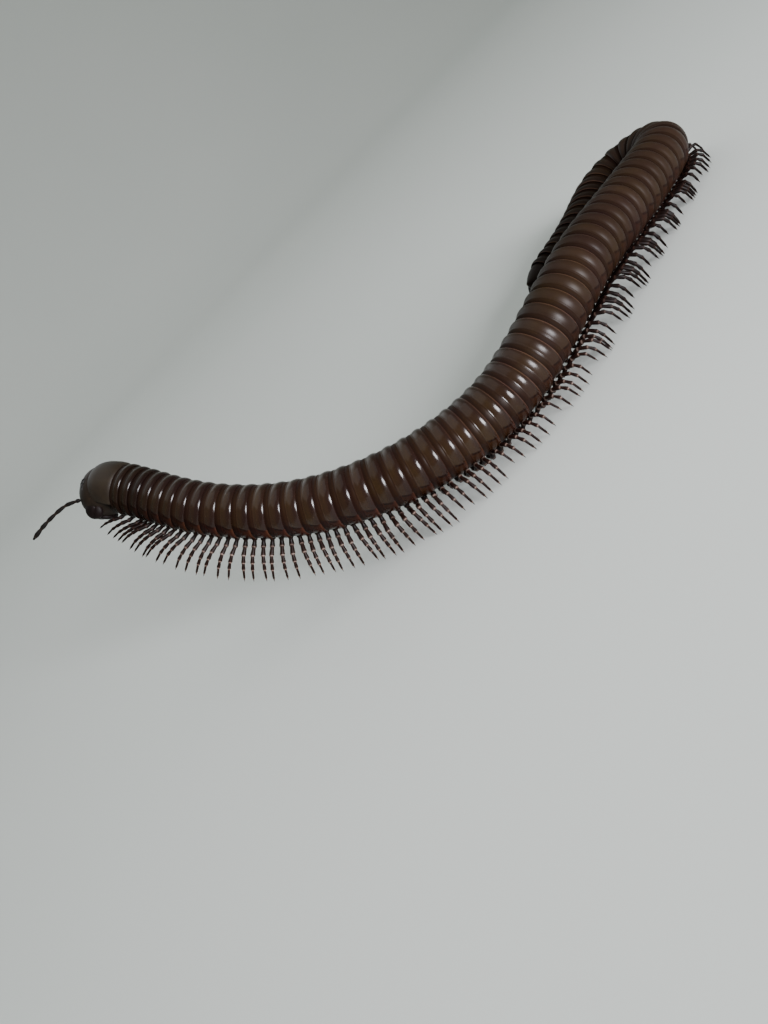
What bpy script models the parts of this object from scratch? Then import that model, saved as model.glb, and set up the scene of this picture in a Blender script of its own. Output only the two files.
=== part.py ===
# A giant spirostreptus millipede, as a still, life-size model.
# The rear two thirds of the animal stand on the floor and turn back beside themselves at the tail.
# The front third is lifted clear of the floor, feeling ahead with its antennae.
# Sizes are in millimetres and angles in degrees until a mesh is made in metres.
import math
import random

import bmesh
import bpy
import numpy as np
from mathutils import Matrix, Vector

MILLIMETRE = 0.001
GAP = 0.3  # clearance between touching pieces

# The body axis, read at body rings. Ring 1 is the collum and the last ring carries the telson.
LAST_RING = 67
NECK = 1.5  # the ring coordinate where the collum meets ring 2
DIAMETER = {1: 10.8, 3: 10.6, 6: 10.5, 10: 10.7, 14: 10.9, 22: 11.7, 30: 12.3, 46: 12.3,
            52: 11.6, 58: 10.9, 62: 10.4, 66: 9.5, 68: 8.5}
RING_PITCH = {1: 1.95, 4: 2.1, 6: 2.4, 8: 2.7, 10: 3.1, 13: 3.25, 30: 3.3, 50: 3.3, 60: 3.1,
              64: 3.0, 68: 2.6}
# Where the axis points on its way to the tail: turned about the vertical, and dropping.
HEADING = {1: -47, 6: -50, 11: -37, 16: -28, 21: -14, 26: -1, 31: 13, 36: 24, 41: 26, 46: 26,
           50: 36, 52.3: 84, 54.3: 132, 56.3: 178, 58.3: 207, 60.3: 215, 62.3: 209, 64.3: 201,
           66: 194, 68: 190}
DROP = {1: 39, 6: 43, 11: 36, 16: 24, 21: 16, 26: 6, 31: -8, 36: -5, 41: 5, 46: 4, 50: 4,
        54: 3, 58: 1, 62: 0, 68: 0}
# The lifted front is rolled about its own axis, its left side up.
ROLL = {1: -37, 6: -38, 10: -26, 14: -14, 18: -5, 22: 0, 68: 0}
ANCHOR_RING = 33
ANCHOR_PLACE = (17.3, -16.95, 9.4)
STEPS_A_RING = 20

# One ring: the sunk front half, the suture, and the rear half that flares to its margin.
ROUND_ANGLES = (0, 25, 56, 88, 120, 150, 180)  # from the belly up one side to the back
BELLY_FLATTENING = {0: 0.93, 25: 0.96, 56: 1.01, 180: 1.01}
SUTURE_AT = 0.45
REAR_HALF_AT = 0.53
FRONT_RADIUS = 0.950
REAR_HALF_RADIUS = 0.985

TRUNK_LENGTHS = ((2, 8), (9, 15), (16, 22), (23, 29), (30, 36), (37, 43), (44, 48), (49, 52),
                 (53, 56), (57, 61), (62, 67))

# Legs. Rings 2 to 4 have one pair, the others two.
FIRST_DOUBLE_RING = 5
LEG_THICKNESS = (1.0, 0.82, 0.62)
FOOT_THICKNESS = 0.44
# A hanging leg: out to its side, and down from the hip, in the ring's own axes.
HANGING_LEG = ((0.6, 0.9), (2.4, 2.4), (3.6, 4.6), (4.0, 7.0))
# On the right side the free legs reach out sideways instead.
REACHING_LEG = ((0.9, 0.7), (3.6, 1.3), (5.9, 2.6), (7.2, 4.2))
HANGING_SCALE = {2: 0.7, 4: 0.85, 7: 1.0, 11: 1.05, 15: 1.07, 24: 1.1}
# A standing leg: how far along its reach and how high each bend is.
STANDING_LEG = ((0.13, 0.80, 0.0), (0.50, 0.72, 2.2), (0.84, 0.38, 2.0), (1.0, 0.0, 0.0))
STANDING_SPAN = 9.0
STANDING_SCALE = {2: 1.0, 60: 1.0, 67: 0.8}
HIP_OFFSET = 1.2
SHELL_CLEARANCE = 0.6  # a leg's bends stay this far under the shell
STANDING_BELLY_HEIGHT = 5.6  # up to here the legs stand on the floor
LIFT_BAND = 3.6  # this much higher they hang free
FOOT_CLEARANCE = 0.35  # a lower foot stands on the floor
LEAN = (0.1, 0.4, 0.75, 1.0)  # how much of a leg's slant each bend has
# How far a leg slants to the tail, as an angle.
SLANT = {2: -46, 4: -40, 6: -32, 9: -20, 11: -6, 13: 6, 16: 18, 19: 12, 22: 0, 25: -8, 28: 0,
         31: 14, 34: 18, 38: 12, 44: 5, 50: 0, 68: 0}
GAIT_RINGS = 2.9  # rings in one wave of the gait
GAIT_SWING = {2: 3, 24: 3.5, 32: 6, 44: 6, 49: 2.5, 68: 2}
PAIR_LEAN = 2.0  # the two pairs of a ring lean this much towards each other
STEP_LIFT = 1.4  # how high a standing leg is raised at the top of its step
# The right legs are drawn in where the body turns back on itself.
RIGHT_REACH = {2: 8.8, 36: 8.8, 41: 7.0, 46: 5.6, 50: 4.6, 58: 4.6, 62: 4.8, 67: 4.6}
LEFT_REACH = {2: 8.8, 28: 8.8, 33: 7.8, 38: 7.2, 48: 7.0, 52: 7.6, 58: 7.6, 64: 6.8, 67: 6.0}

# The head, in its own axes: x forward from the neck, y to the left, z up.
HEAD_CENTRE = (4.95, 0.0, -1.7)
HEAD_HALF = (4.3, 4.6, 5.5)
LABRUM_TAPER = 0.34
COLLUM_SECTIONS = ((0.0, 5.2, 0.0), (1.1, 5.3, -0.1), (3.3, 5.1, -0.2), (5.0, 4.6, -0.4),
                   (5.95, 3.8, -0.7))
COLLUM_LOWER_EDGE = -2.4
MANDIBLE_CENTRE = (4.25, 3.7, -4.6)
MANDIBLE_HALF = (2.1, 1.0, 1.8)
LIP_PLATE_CENTRE = (3.55, 0.0, -5.9)
LIP_PLATE_HALF = (1.9, 2.3, 0.8)
EYE_CENTRE = (7.35, 3.45, 0.4)
EYE_HALF = (0.85, 0.55, 0.8)
ANTENNA_BASE = (8.65, 2.4, -3.4)
ANTENNA_PATHS = {
    "antenna_left": ((0.0, 0.0, 0.0), (2.4, 1.1, -1.4), (4.3, 2.3, -3.7), (5.9, 3.3, -6.2),
                     (7.2, 4.2, -8.8)),
    "antenna_right": ((0.0, 0.0, 0.0), (1.8, -1.8, -0.6), (2.9, -4.2, -1.6), (3.3, -6.9, -3.2),
                      (3.1, -9.2, -5.4)),
}
ANTENNA_ARTICLES = (0.07, 0.19, 0.19, 0.17, 0.16, 0.16, 0.06)
ANTENNA_THICKNESS = (0.95, 0.85, 0.85, 0.85, 0.9, 0.95, 0.6)

# The telson, in its own axes: x towards the tail from the last ring, y to the left, z up.
TELSON_SECTIONS = ((0.0, 3.95, 0.0), (1.0, 3.9, 0.0), (2.2, 3.3, 0.3), (3.2, 2.3, 0.9),
                   (4.1, 1.2, 1.7), (4.7, 0.35, 2.3))
VALVE_CENTRE = (2.2, 1.55, -0.7)
VALVE_HALF = (2.3, 1.4, 2.6)

COLOURS = {
    "head": (0.020, 0.013, 0.010), "collum": (0.060, 0.046, 0.036), "mandible": (0.030, 0.017, 0.012),
    "eye": (0.004, 0.004, 0.004), "antenna": (0.025, 0.015, 0.011), "trunk": (0.045, 0.027, 0.018),
    "telson": (0.040, 0.023, 0.015), "valve": (0.050, 0.024, 0.015),
}


def through(knots, place):
    """The value at a place on a smooth curve through a few knots."""
    places = np.array(sorted(knots), float)
    values = np.array([knots[key] for key in sorted(knots)], float)
    slopes = np.gradient(values, places, edge_order=1)
    slopes[1:-1] = (values[2:] - values[:-2]) / (places[2:] - places[:-2])
    place = np.clip(place, places[0], places[-1])
    left = np.clip(np.searchsorted(places, place, side="right") - 1, 0, len(places) - 2)
    width = places[left + 1] - places[left]
    t = (place - places[left]) / width
    return ((2 * t**3 - 3 * t**2 + 1) * values[left] + (t**3 - 2 * t**2 + t) * width * slopes[left]
            + (3 * t**2 - 2 * t**3) * values[left + 1] + (t**3 - t**2) * width * slopes[left + 1])


def between(knots, place):
    """The value at a place on straight lines between a few knots."""
    places = sorted(knots)
    return np.interp(place, places, [knots[key] for key in places])


def march():
    """Walk the body axis from the neck to the tail and set the anchor ring on its place."""
    rings = np.arange(NECK, LAST_RING + 0.5 + 0.5 / STEPS_A_RING, 1 / STEPS_A_RING)
    heading = np.radians(through(HEADING, rings))
    drop = np.radians(through(DROP, rings))
    tailward = np.stack([np.cos(drop) * np.cos(heading), np.cos(drop) * np.sin(heading),
                         -np.sin(drop)], axis=1)
    steps = between(RING_PITCH, (rings[1:] + rings[:-1]) / 2) / STEPS_A_RING
    moves = (tailward[1:] + tailward[:-1]) / 2 * steps[:, None]
    points = np.vstack([np.zeros(3), np.cumsum(moves, axis=0)])
    anchor = np.argmin(np.abs(rings - ANCHOR_RING))
    return rings, points - points[anchor] + np.array(ANCHOR_PLACE), tailward


RINGS, AXIS_POINTS, AXIS_TAILWARD = march()


def frame_at(ring):
    """The axis point at a ring, with the directions to the tail, to the left and up."""
    point = Vector([np.interp(ring, RINGS, AXIS_POINTS[:, i]) for i in range(3)])
    tailward = Vector([np.interp(ring, RINGS, AXIS_TAILWARD[:, i]) for i in range(3)]).normalized()
    up = Vector((0, 0, 1)) - tailward * tailward.z
    up = (Matrix.Rotation(math.radians(float(through(ROLL, ring))), 3, tailward) @ up).normalized()
    left = up.cross(-tailward)
    return point, tailward, left, up


def round_section(frame, radius):
    """One cross-section of the trunk, from the belly up the left side, over and down the right."""
    point, tailward, left, up = frame
    section = []
    for side, angles in ((1, ROUND_ANGLES), (-1, ROUND_ANGLES[-2:0:-1])):
        for angle in angles:
            size = radius * float(between(BELLY_FLATTENING, angle))
            a = math.radians(angle)
            section.append(point + left * (side * size * math.sin(a)) - up * (size * math.cos(a)))
    return section


def make_object(name, verts, faces, colour):
    """A named object with its own material, from points in millimetres."""
    mesh = bpy.data.meshes.new(name)
    mesh.from_pydata([Vector(v) * MILLIMETRE for v in verts], [], faces)
    bm = bmesh.new()
    bm.from_mesh(mesh)
    bmesh.ops.recalc_face_normals(bm, faces=bm.faces)
    bm.to_mesh(mesh)
    bm.free()
    mesh.shade_smooth()
    mesh.set_sharp_from_angle(angle=math.radians(35))
    material = bpy.data.materials.new(name)
    material.use_nodes = True
    shader = material.node_tree.nodes["Principled BSDF"]
    shader.inputs["Base Color"].default_value = (*colour, 1)
    shader.inputs["Roughness"].default_value = 0.35
    shader.inputs["Metallic"].default_value = 0.0
    mesh.materials.append(material)
    obj = bpy.data.objects.new(name, mesh)
    bpy.context.scene.collection.objects.link(obj)
    return obj


def loft(sections):
    """Closed tube through cross-sections that have alike points."""
    count = len(sections[0])
    verts = [point for section in sections for point in section]
    faces = []
    for i in range(len(sections) - 1):
        for j in range(count):
            k = (j + 1) % count
            faces.append((i * count + j, i * count + k, (i + 1) * count + k, (i + 1) * count + j))
    faces.append(tuple(range(count)))
    faces.append(tuple(range((len(sections) - 1) * count, len(sections) * count)))
    return verts, faces


def standing_leg(ring, side, hip, slant):
    """Points from the hip out, over the knee under the shell's edge, and down to the floor."""
    point, tailward, left, up = frame_at(ring)
    radius = float(between(DIAMETER, ring)) / 2
    out = Vector((left.x, left.y, 0)).normalized() * side
    back = Vector((tailward.x, tailward.y, 0)).normalized()
    hip_out = (hip - point).dot(out)
    hip_back = (hip - point).dot(back)
    span = STANDING_SPAN * float(between(STANDING_SCALE, ring))
    shift = 0.6 * span * math.sin(slant)
    widest = float(between(LEFT_REACH if side > 0 else RIGHT_REACH, ring))
    reach = min(widest, HIP_OFFSET + math.sqrt(max(9.0, span**2 - hip.z**2 - shift**2)))
    path = [hip]
    for (share, steep, rise), lean in zip(STANDING_LEG, LEAN):
        outward = hip_out + share * (reach - hip_out)
        height = max(steep * hip.z + rise, 0.0)
        if outward < radius:
            height = min(height, point.z - math.sqrt(radius**2 - outward**2) - SHELL_CLEARANCE)
        spot = point + out * outward + back * (hip_back + lean * shift)
        path.append(Vector((spot.x, spot.y, max(height, 0.0 if share == 1.0 else 0.55))))
    return path


def hanging_leg(ring, side, hip, slant):
    """Points of a leg that hangs free beside the lifted belly."""
    point, tailward, left, up = frame_at(ring)
    scale = float(between(HANGING_SCALE, ring))
    longest = HANGING_LEG[-1][1]
    path = [hip]
    for (spread, fall), lean in zip(HANGING_LEG if side > 0 else REACHING_LEG, LEAN):
        offset = left * (side * spread) - up * (fall * math.cos(slant))
        path.append(hip + (offset + tailward * (lean * longest * math.sin(slant))) * scale)
    return path


def leg_path(ring, side, hip, lean, jitter):
    """The path of one leg: standing, hanging, or between the two where the belly leaves the floor."""
    phase = 2 * math.pi * ring / GAIT_RINGS + (0.6 if side > 0 else 0)
    swing = float(between(GAIT_SWING, ring)) * math.sin(phase) + lean + jitter.uniform(-1, 1)
    slant = math.radians(float(through(SLANT, ring)) + swing)
    lifted = min(max((hip.z - STANDING_BELLY_HEIGHT) / LIFT_BAND, 0.0), 1.0)
    standing = standing_leg(ring, side, hip, slant)
    hanging = hanging_leg(ring, side, hip, slant)
    path = [low.lerp(high, lifted) for low, high in zip(standing, hanging)]
    step = STEP_LIFT * max(0.0, math.cos(phase))**2 * (1 - lifted)
    path[-2].z += step / 2
    path[-1].z += step
    stands = path[-1].z < FOOT_CLEARANCE
    if stands:
        path[-1].z = 0.0
    return path, stands


def add_leg(verts, faces, root, ring, side, lean, jitter):
    """Draw a leg out of one belly face of the trunk, as a tapering tube with a flat foot."""
    hip = sum((verts[i] for i in root), Vector()) / 4
    path, stands = leg_path(ring, side, hip, lean, jitter)
    tailward = frame_at(ring)[1]
    previous = list(root)
    for i in range(1, len(path)):
        last = i == len(path) - 1
        ahead = path[i] if last else path[i + 1]
        direction = (ahead - path[i - 1]).normalized()
        if last and stands:
            direction = Vector((0, 0, -1))
        along = (tailward - direction * tailward.dot(direction)).normalized()
        outer = along.cross(direction) * -side
        half = (FOOT_THICKNESS if last else LEG_THICKNESS[i - 1]) / 2
        corners = [path[i] - along * half - outer * half, path[i] - along * half + outer * half,
                   path[i] + along * half + outer * half, path[i] + along * half - outer * half]
        first = len(verts)
        verts.extend(corners)
        current = [first, first + 1, first + 2, first + 3]
        for j in range(4):
            k = (j + 1) % 4
            faces.append((previous[j], previous[k], current[k], current[j]))
        previous = current
    faces.append(tuple(previous))


def make_trunk(name, first, last, jitter):
    """A length of trunk: rings with their front half, suture and flared rear half, and legs."""
    sections = []
    leg_rows = []
    for ring in range(first, last + 1):
        radius = float(between(DIAMETER, ring)) / 2
        start = frame_at(ring - 0.5)
        if ring == first:
            start = (start[0] + start[1] * GAP / 2, *start[1:])
        sections.append(round_section(start, radius * FRONT_RADIUS))
        sections.append(round_section(frame_at(ring - 0.5 + SUTURE_AT), radius * FRONT_RADIUS))
        sections.append(round_section(frame_at(ring - 0.5 + REAR_HALF_AT), radius * REAR_HALF_RADIUS))
        end = frame_at(ring + 0.5)
        sections.append(round_section((end[0] - end[1] * GAP / 2, *end[1:]), radius))
        row = len(sections) - 4
        leg_rows.append((row + 2, ring + 0.24, -PAIR_LEAN))
        if ring >= FIRST_DOUBLE_RING:
            leg_rows.append((row, ring - 0.27, PAIR_LEAN))
    verts, faces = loft(sections)
    count = len(sections[0])
    for row, ring, lean in leg_rows:
        for side, near, far in ((1, 0, 1), (-1, 0, count - 1)):
            root = (row * count + near, row * count + far,
                    (row + 1) * count + far, (row + 1) * count + near)
            faces = [face for face in faces if set(face) != set(root)]
            add_leg(verts, faces, root, ring, side, lean, jitter)
    return make_object(name, verts, faces, COLOURS["trunk"])


def head_point(place):
    """A place in the head's axes, in the room."""
    point, tailward, left, up = frame_at(NECK)
    return point - tailward * place[0] + left * place[1] + up * place[2]


def telson_point(place):
    """A place in the telson's axes, in the room."""
    point, tailward, left, up = frame_at(LAST_RING + 0.5)
    return point + tailward * (place[0] + GAP / 2) + left * place[1] + up * place[2]


def ball(centre, half, grow, columns, rows, shape=None):
    """Points and faces of a ball stretched to its half sizes, with an optional reshaping."""
    bm = bmesh.new()
    bmesh.ops.create_uvsphere(bm, u_segments=columns, v_segments=rows, radius=1)
    verts = []
    for vert in bm.verts:
        x, y, z = vert.co
        if shape:
            x, y, z = shape(x, y, z)
        verts.append(tuple(centre[i] + (half[i] + grow) * value for i, value in enumerate((x, y, z))))
    faces = [tuple(vert.index for vert in face.verts) for face in bm.faces]
    bm.free()
    return verts, faces


def head_shape(x, y, z):
    """Narrow the head towards the upper lip and notch the lip's edge."""
    taper = 1 - LABRUM_TAPER * max(0.0, -z) ** 2
    notch = 0.10 * math.exp(-(y / 0.16) ** 2) if z < -0.8 else 0.0
    return x, y * taper, z + notch


def shield(grow):
    """The collum's sections: a hood over the back of the head, open below."""
    front = COLLUM_SECTIONS[-1][0]
    sections = []
    for x, radius, lift in COLLUM_SECTIONS:
        place = x + GAP / 2 + (grow if x == front else 0.0)
        section = []
        for angle in range(0, 360, 20):
            a = math.radians(angle)
            y = (radius + grow) * math.sin(a)
            z = max(lift + (radius + grow) * -math.cos(a), COLLUM_LOWER_EDGE - grow)
            section.append((place, y, z))
        sections.append(section)
    return loft(sections)


def placed(shape, place_point):
    """The same points and faces, moved into the room."""
    verts, faces = shape
    return [place_point(vert) for vert in verts], faces


def cut(obj, name, shape):
    """Cut a grown copy of a neighbour out of an object, which leaves the clearance."""
    cutter = make_object(name, *shape, COLOURS["head"])
    cutter.hide_render = True
    cutter.display_type = "WIRE"
    modifier = obj.modifiers.new(name, "BOOLEAN")
    modifier.operation = "DIFFERENCE"
    modifier.solver = "MANIFOLD"
    modifier.object = cutter


def mirrored(place, side):
    """A place on the left side, or its twin on the right."""
    return (place[0], place[1] * side, place[2])


def make_head():
    """The head, the hood over it, and the mouthparts and eyes that sit in it."""
    head = make_object("head", *placed(ball(HEAD_CENTRE, HEAD_HALF, 0, 24, 14, head_shape), head_point),
                       COLOURS["head"])
    make_object("collum", *placed(shield(0), head_point), COLOURS["collum"])
    cut(head, "collum_clearance", placed(shield(GAP), head_point))
    plate = (LIP_PLATE_CENTRE, LIP_PLATE_HALF)
    make_object("gnathochilarium", *placed(ball(*plate, 0, 12, 8), head_point), COLOURS["mandible"])
    cut(head, "lip_plate_clearance", placed(ball(*plate, GAP, 12, 8), head_point))
    for side, word in ((1, "left"), (-1, "right")):
        cheek = (mirrored(MANDIBLE_CENTRE, side), MANDIBLE_HALF)
        make_object("mandible_" + word, *placed(ball(*cheek, 0, 12, 8), head_point), COLOURS["mandible"])
        cut(head, "mandible_clearance_" + word, placed(ball(*cheek, GAP, 12, 8), head_point))
        eye = (mirrored(EYE_CENTRE, side), EYE_HALF)
        make_object("eye_" + word, *placed(ball(*eye, 0, 10, 6), head_point), COLOURS["eye"])
        cut(head, "eye_clearance_" + word, placed(ball(*eye, GAP, 10, 6), head_point))


def curve_through(points, share):
    """A point and its direction at a share of the way along a smooth curve through points."""
    places = np.linspace(0, 1, len(points))
    knots = [{p: point[i] for p, point in zip(places, points)} for i in range(3)]
    spot = Vector([float(through(knot, share)) for knot in knots])
    near = Vector([float(through(knot, min(share + 0.01, 1))) for knot in knots])
    back = Vector([float(through(knot, max(share - 0.01, 0))) for knot in knots])
    return spot, (near - back).normalized()


def make_antenna(name, path, side):
    """Seven articles in a row, each narrow at its ends and swollen before its far end."""
    base = Vector(mirrored(ANTENNA_BASE, side))
    stations = []
    share = 0.0
    for length, thickness in zip(ANTENNA_ARTICLES, ANTENNA_THICKNESS):
        stations += [(share + 0.01, 0.62 * thickness), (share + 0.6 * length, thickness),
                     (share + length - 0.01, 0.8 * thickness)]
        share += length
    sections = []
    for share, thickness in stations:
        spot, direction = curve_through(path, share)
        across = direction.cross(Vector((0, 1, 0))).normalized()
        other = direction.cross(across)
        section = []
        for angle in range(0, 360, 60):
            a = math.radians(angle)
            place = base + spot + (across * math.cos(a) + other * math.sin(a)) * thickness / 2
            section.append(tuple(place))
        sections.append(section)
    make_object(name, *placed(loft(sections), head_point), COLOURS["antenna"])


def make_telson():
    """The last piece, pointed over the two anal valves that close the tail."""
    sections = []
    for x, radius, lift in TELSON_SECTIONS:
        section = []
        for angle in range(0, 360, 30):
            a = math.radians(angle)
            section.append((x, radius * math.sin(a), lift + radius * math.cos(a)))
        sections.append(section)
    telson = make_object("telson", *placed(loft(sections), telson_point), COLOURS["telson"])
    for side, word in ((1, "left"), (-1, "right")):
        valve = (mirrored(VALVE_CENTRE, side), VALVE_HALF)
        make_object("anal_valve_" + word, *placed(ball(*valve, 0, 12, 8), telson_point), COLOURS["valve"])
        cut(telson, "valve_clearance_" + word, placed(ball(*valve, GAP, 12, 8), telson_point))


for old in list(bpy.data.objects):
    bpy.data.objects.remove(old, do_unlink=True)
leg_jitter = random.Random(7)
make_head()
for antenna_name, antenna_path in ANTENNA_PATHS.items():
    make_antenna(antenna_name, antenna_path, 1 if antenna_name.endswith("left") else -1)
for number, (first_ring, last_ring) in enumerate(TRUNK_LENGTHS, 1):
    make_trunk(f"trunk_{number:02d}", first_ring, last_ring, leg_jitter)
make_telson()
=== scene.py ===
# A giant spirostreptus millipede as a still, life-size museum model.
# It stands on its legs with the front third of its body raised and the tail turned back beside it.
import math
import random

import bmesh
import bpy
import numpy as np
from mathutils import Matrix, Vector


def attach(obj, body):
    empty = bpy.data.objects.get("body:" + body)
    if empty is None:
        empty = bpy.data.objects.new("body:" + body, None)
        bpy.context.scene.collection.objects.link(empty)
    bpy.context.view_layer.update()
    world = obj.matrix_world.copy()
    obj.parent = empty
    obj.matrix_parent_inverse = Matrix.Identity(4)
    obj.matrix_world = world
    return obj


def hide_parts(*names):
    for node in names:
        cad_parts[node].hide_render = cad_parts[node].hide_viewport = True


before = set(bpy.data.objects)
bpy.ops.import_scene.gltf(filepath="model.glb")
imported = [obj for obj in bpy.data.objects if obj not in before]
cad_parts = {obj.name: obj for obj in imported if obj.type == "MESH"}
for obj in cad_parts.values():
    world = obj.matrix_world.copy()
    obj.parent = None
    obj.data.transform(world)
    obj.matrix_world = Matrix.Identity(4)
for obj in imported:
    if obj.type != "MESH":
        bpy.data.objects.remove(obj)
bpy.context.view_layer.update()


# The trunk rings. Each is a hoop of hard, limy cuticle with a narrow front part that slides into
# the ring ahead, a pinched suture, and a broad swollen rear part with a thin, reddish free edge.
# They are bent one by one to the axis of the body, head to tail.
MM = 0.001
DIAMETER = {1: 10.8, 3: 10.6, 6: 10.5, 10: 10.7, 14: 10.9, 22: 11.7, 30: 12.3, 46: 12.3,
            52: 11.6, 58: 10.9, 62: 10.4, 66: 9.5, 68: 8.5}
RING_PITCH = {1: 1.95, 4: 2.1, 6: 2.4, 8: 2.7, 10: 3.1, 13: 3.25, 30: 3.3, 50: 3.3, 60: 3.1,
              64: 3.0, 68: 2.6}
HEADING = {1: -47, 6: -50, 11: -37, 16: -28, 21: -14, 26: -1, 31: 13, 36: 24, 41: 26, 46: 26,
           50: 36, 52.3: 84, 54.3: 132, 56.3: 178, 58.3: 207, 60.3: 215, 62.3: 209, 64.3: 201,
           66: 194, 68: 190}
DROP = {1: 39, 6: 43, 11: 36, 16: 24, 21: 16, 26: 6, 31: -8, 36: -5, 41: 5, 46: 4, 50: 4,
        54: 3, 58: 1, 62: 0, 68: 0}
ROLL = {1: -37, 6: -38, 10: -26, 14: -14, 18: -5, 22: 0, 68: 0}
BELLY_FLATTENING = {0: 0.93, 25: 0.96, 56: 1.0, 180: 1.0}
NECK = 1.5
LAST_RING = 67
ANCHOR_RING = 33
ANCHOR_PLACE = (17.3, -16.95, 9.4)
TRUNK_LENGTHS = ((2, 8), (9, 15), (16, 22), (23, 29), (30, 36), (37, 43), (44, 48), (49, 52),
                 (53, 56), (57, 61), (62, 67))
SUTURE = 0.28
# Place along the ring, in rings, and radius, as a share of half the diameter.
RING_PROFILE = ((-0.32, 0.890), (-0.10, 0.922), (0.00, 0.937), (0.08, 0.946), (0.16, 0.952),
                (0.22, 0.9535), (0.255, 0.9495), (SUTURE, 0.9470), (0.305, 0.9495), (0.33, 0.9545),
                (0.35, 0.9555), (0.37, 0.9535), (0.385, 0.9540), (0.405, 0.9580), (0.44, 0.966),
                (0.50, 0.977), (0.57, 0.987), (0.64, 0.993), (0.71, 0.9955), (0.78, 0.994),
                (0.84, 0.988), (0.89, 0.979), (0.93, 0.969), (0.965, 0.958), (0.990, 0.948),
                (0.985, 0.938), (0.93, 0.928), (0.80, 0.898))
RING_SIDES = 56
# The body axis is walked in steps of this many rings.
MARCH_STEP = 0.05
# A ring stretches by this much outside a bend before its front part slides out.
FREE_STRETCH = 1.12


def through(knots, place):
    """The value at a place on a smooth curve through a few knots."""
    places = np.array(sorted(knots), float)
    values = np.array([knots[key] for key in sorted(knots)], float)
    slopes = np.gradient(values, places, edge_order=1)
    slopes[1:-1] = (values[2:] - values[:-2]) / (places[2:] - places[:-2])
    place = np.clip(place, places[0], places[-1])
    left = np.clip(np.searchsorted(places, place, side="right") - 1, 0, len(places) - 2)
    width = places[left + 1] - places[left]
    t = (place - places[left]) / width
    return ((2 * t**3 - 3 * t**2 + 1) * values[left] + (t**3 - 2 * t**2 + t) * width * slopes[left]
            + (3 * t**2 - 2 * t**3) * values[left + 1] + (t**3 - t**2) * width * slopes[left + 1])


def between(knots, place):
    """The value at a place on straight lines between a few knots."""
    places = sorted(knots)
    return np.interp(place, places, [knots[key] for key in places])


def march():
    """Walk the body axis from before the neck to past the tail, in millimetres."""
    rings = np.arange(NECK - 1, LAST_RING + 1.5, MARCH_STEP)
    heading = np.radians(through(HEADING, rings))
    drop = np.radians(through(DROP, rings))
    tailward = np.stack([np.cos(drop) * np.cos(heading), np.cos(drop) * np.sin(heading),
                         -np.sin(drop)], axis=1)
    steps = between(RING_PITCH, (rings[1:] + rings[:-1]) / 2) * MARCH_STEP
    moves = (tailward[1:] + tailward[:-1]) / 2 * steps[:, None]
    points = np.vstack([np.zeros(3), np.cumsum(moves, axis=0)])
    anchor = np.argmin(np.abs(rings - ANCHOR_RING))
    return rings, points - points[anchor] + np.array(ANCHOR_PLACE), tailward


AXIS_RINGS, AXIS_POINTS, AXIS_TAILWARD = march()


def unit(vectors):
    """The same directions, one long."""
    return vectors / np.linalg.norm(vectors, axis=-1, keepdims=True)


def frames_at(rings):
    """Axis points at some rings, with the directions to the tail, to the left and up."""
    rings = np.atleast_1d(np.asarray(rings, float))
    points = np.stack([np.interp(rings, AXIS_RINGS, AXIS_POINTS[:, i]) for i in range(3)], 1)
    tail = unit(np.stack([np.interp(rings, AXIS_RINGS, AXIS_TAILWARD[:, i]) for i in range(3)], 1))
    up = unit(np.array((0.0, 0.0, 1.0)) - tail * tail[:, 2:])
    roll = np.radians(through(ROLL, rings))[:, None]
    up = up * np.cos(roll) + np.cross(tail, up) * np.sin(roll)
    return points, tail, np.cross(up, -tail), up


def points_of(piece):
    """The piece's own points as rows of x, y, z."""
    found = np.empty(len(piece.data.vertices) * 3)
    piece.data.vertices.foreach_get("co", found)
    return found.reshape(-1, 3)


def move_points(piece, points):
    """Put the piece's points at new places, given in millimetres."""
    piece.data.vertices.foreach_set("co", (points * MM).ravel())
    piece.data.update()


def mark(piece, name, values):
    """Keep three numbers at each point, which a material reads."""
    kept = piece.data.attributes.new(name, "FLOAT_VECTOR", "POINT")
    kept.data.foreach_set("vector", np.asarray(values, float).ravel())


def draw_out(name, stations, sides):
    """Extrude a disc along X through places and radii, as one closed turned form."""
    bpy.ops.object.select_all(action="DESELECT")
    (place, radius), *rest = stations
    bpy.ops.mesh.primitive_circle_add(vertices=sides, radius=radius, fill_type="NGON",
                                      location=(place, 0, 0), rotation=(0, math.pi / 2, 0))
    bpy.ops.object.transform_apply(location=True, rotation=True, scale=True)
    bpy.ops.object.mode_set(mode="EDIT")
    for next_place, next_radius in rest:
        bpy.ops.mesh.extrude_region_move(
            TRANSFORM_OT_translate={"value": (next_place - place, 0, 0)})
        share = next_radius / radius
        bpy.ops.transform.resize(value=(1, share, share), center_override=(next_place, 0, 0))
        place, radius = next_place, next_radius
    bpy.ops.mesh.select_all(action="SELECT")
    bpy.ops.mesh.normals_make_consistent(inside=False)
    bpy.ops.object.mode_set(mode="OBJECT")
    bpy.context.object.name = name
    return bpy.context.object


def copy_of(piece, name):
    """A copy with a mesh of its own."""
    made = piece.copy()
    made.data = piece.data.copy()
    made.name = name
    bpy.context.scene.collection.objects.link(made)
    return made


def join(pieces, name):
    """Make one piece of several."""
    bpy.ops.object.select_all(action="DESELECT")
    for piece in pieces:
        piece.select_set(True)
    bpy.context.view_layer.objects.active = pieces[0]
    bpy.ops.object.join()
    joined = bpy.context.object
    joined.name = name
    joined.data.name = name
    return joined


def smooth(piece, angle):
    """Shade round, with edges sharper than an angle kept crisp."""
    bpy.ops.object.select_all(action="DESELECT")
    piece.select_set(True)
    bpy.context.view_layer.objects.active = piece
    bpy.ops.object.shade_smooth_by_angle(angle=math.radians(angle))


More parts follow.
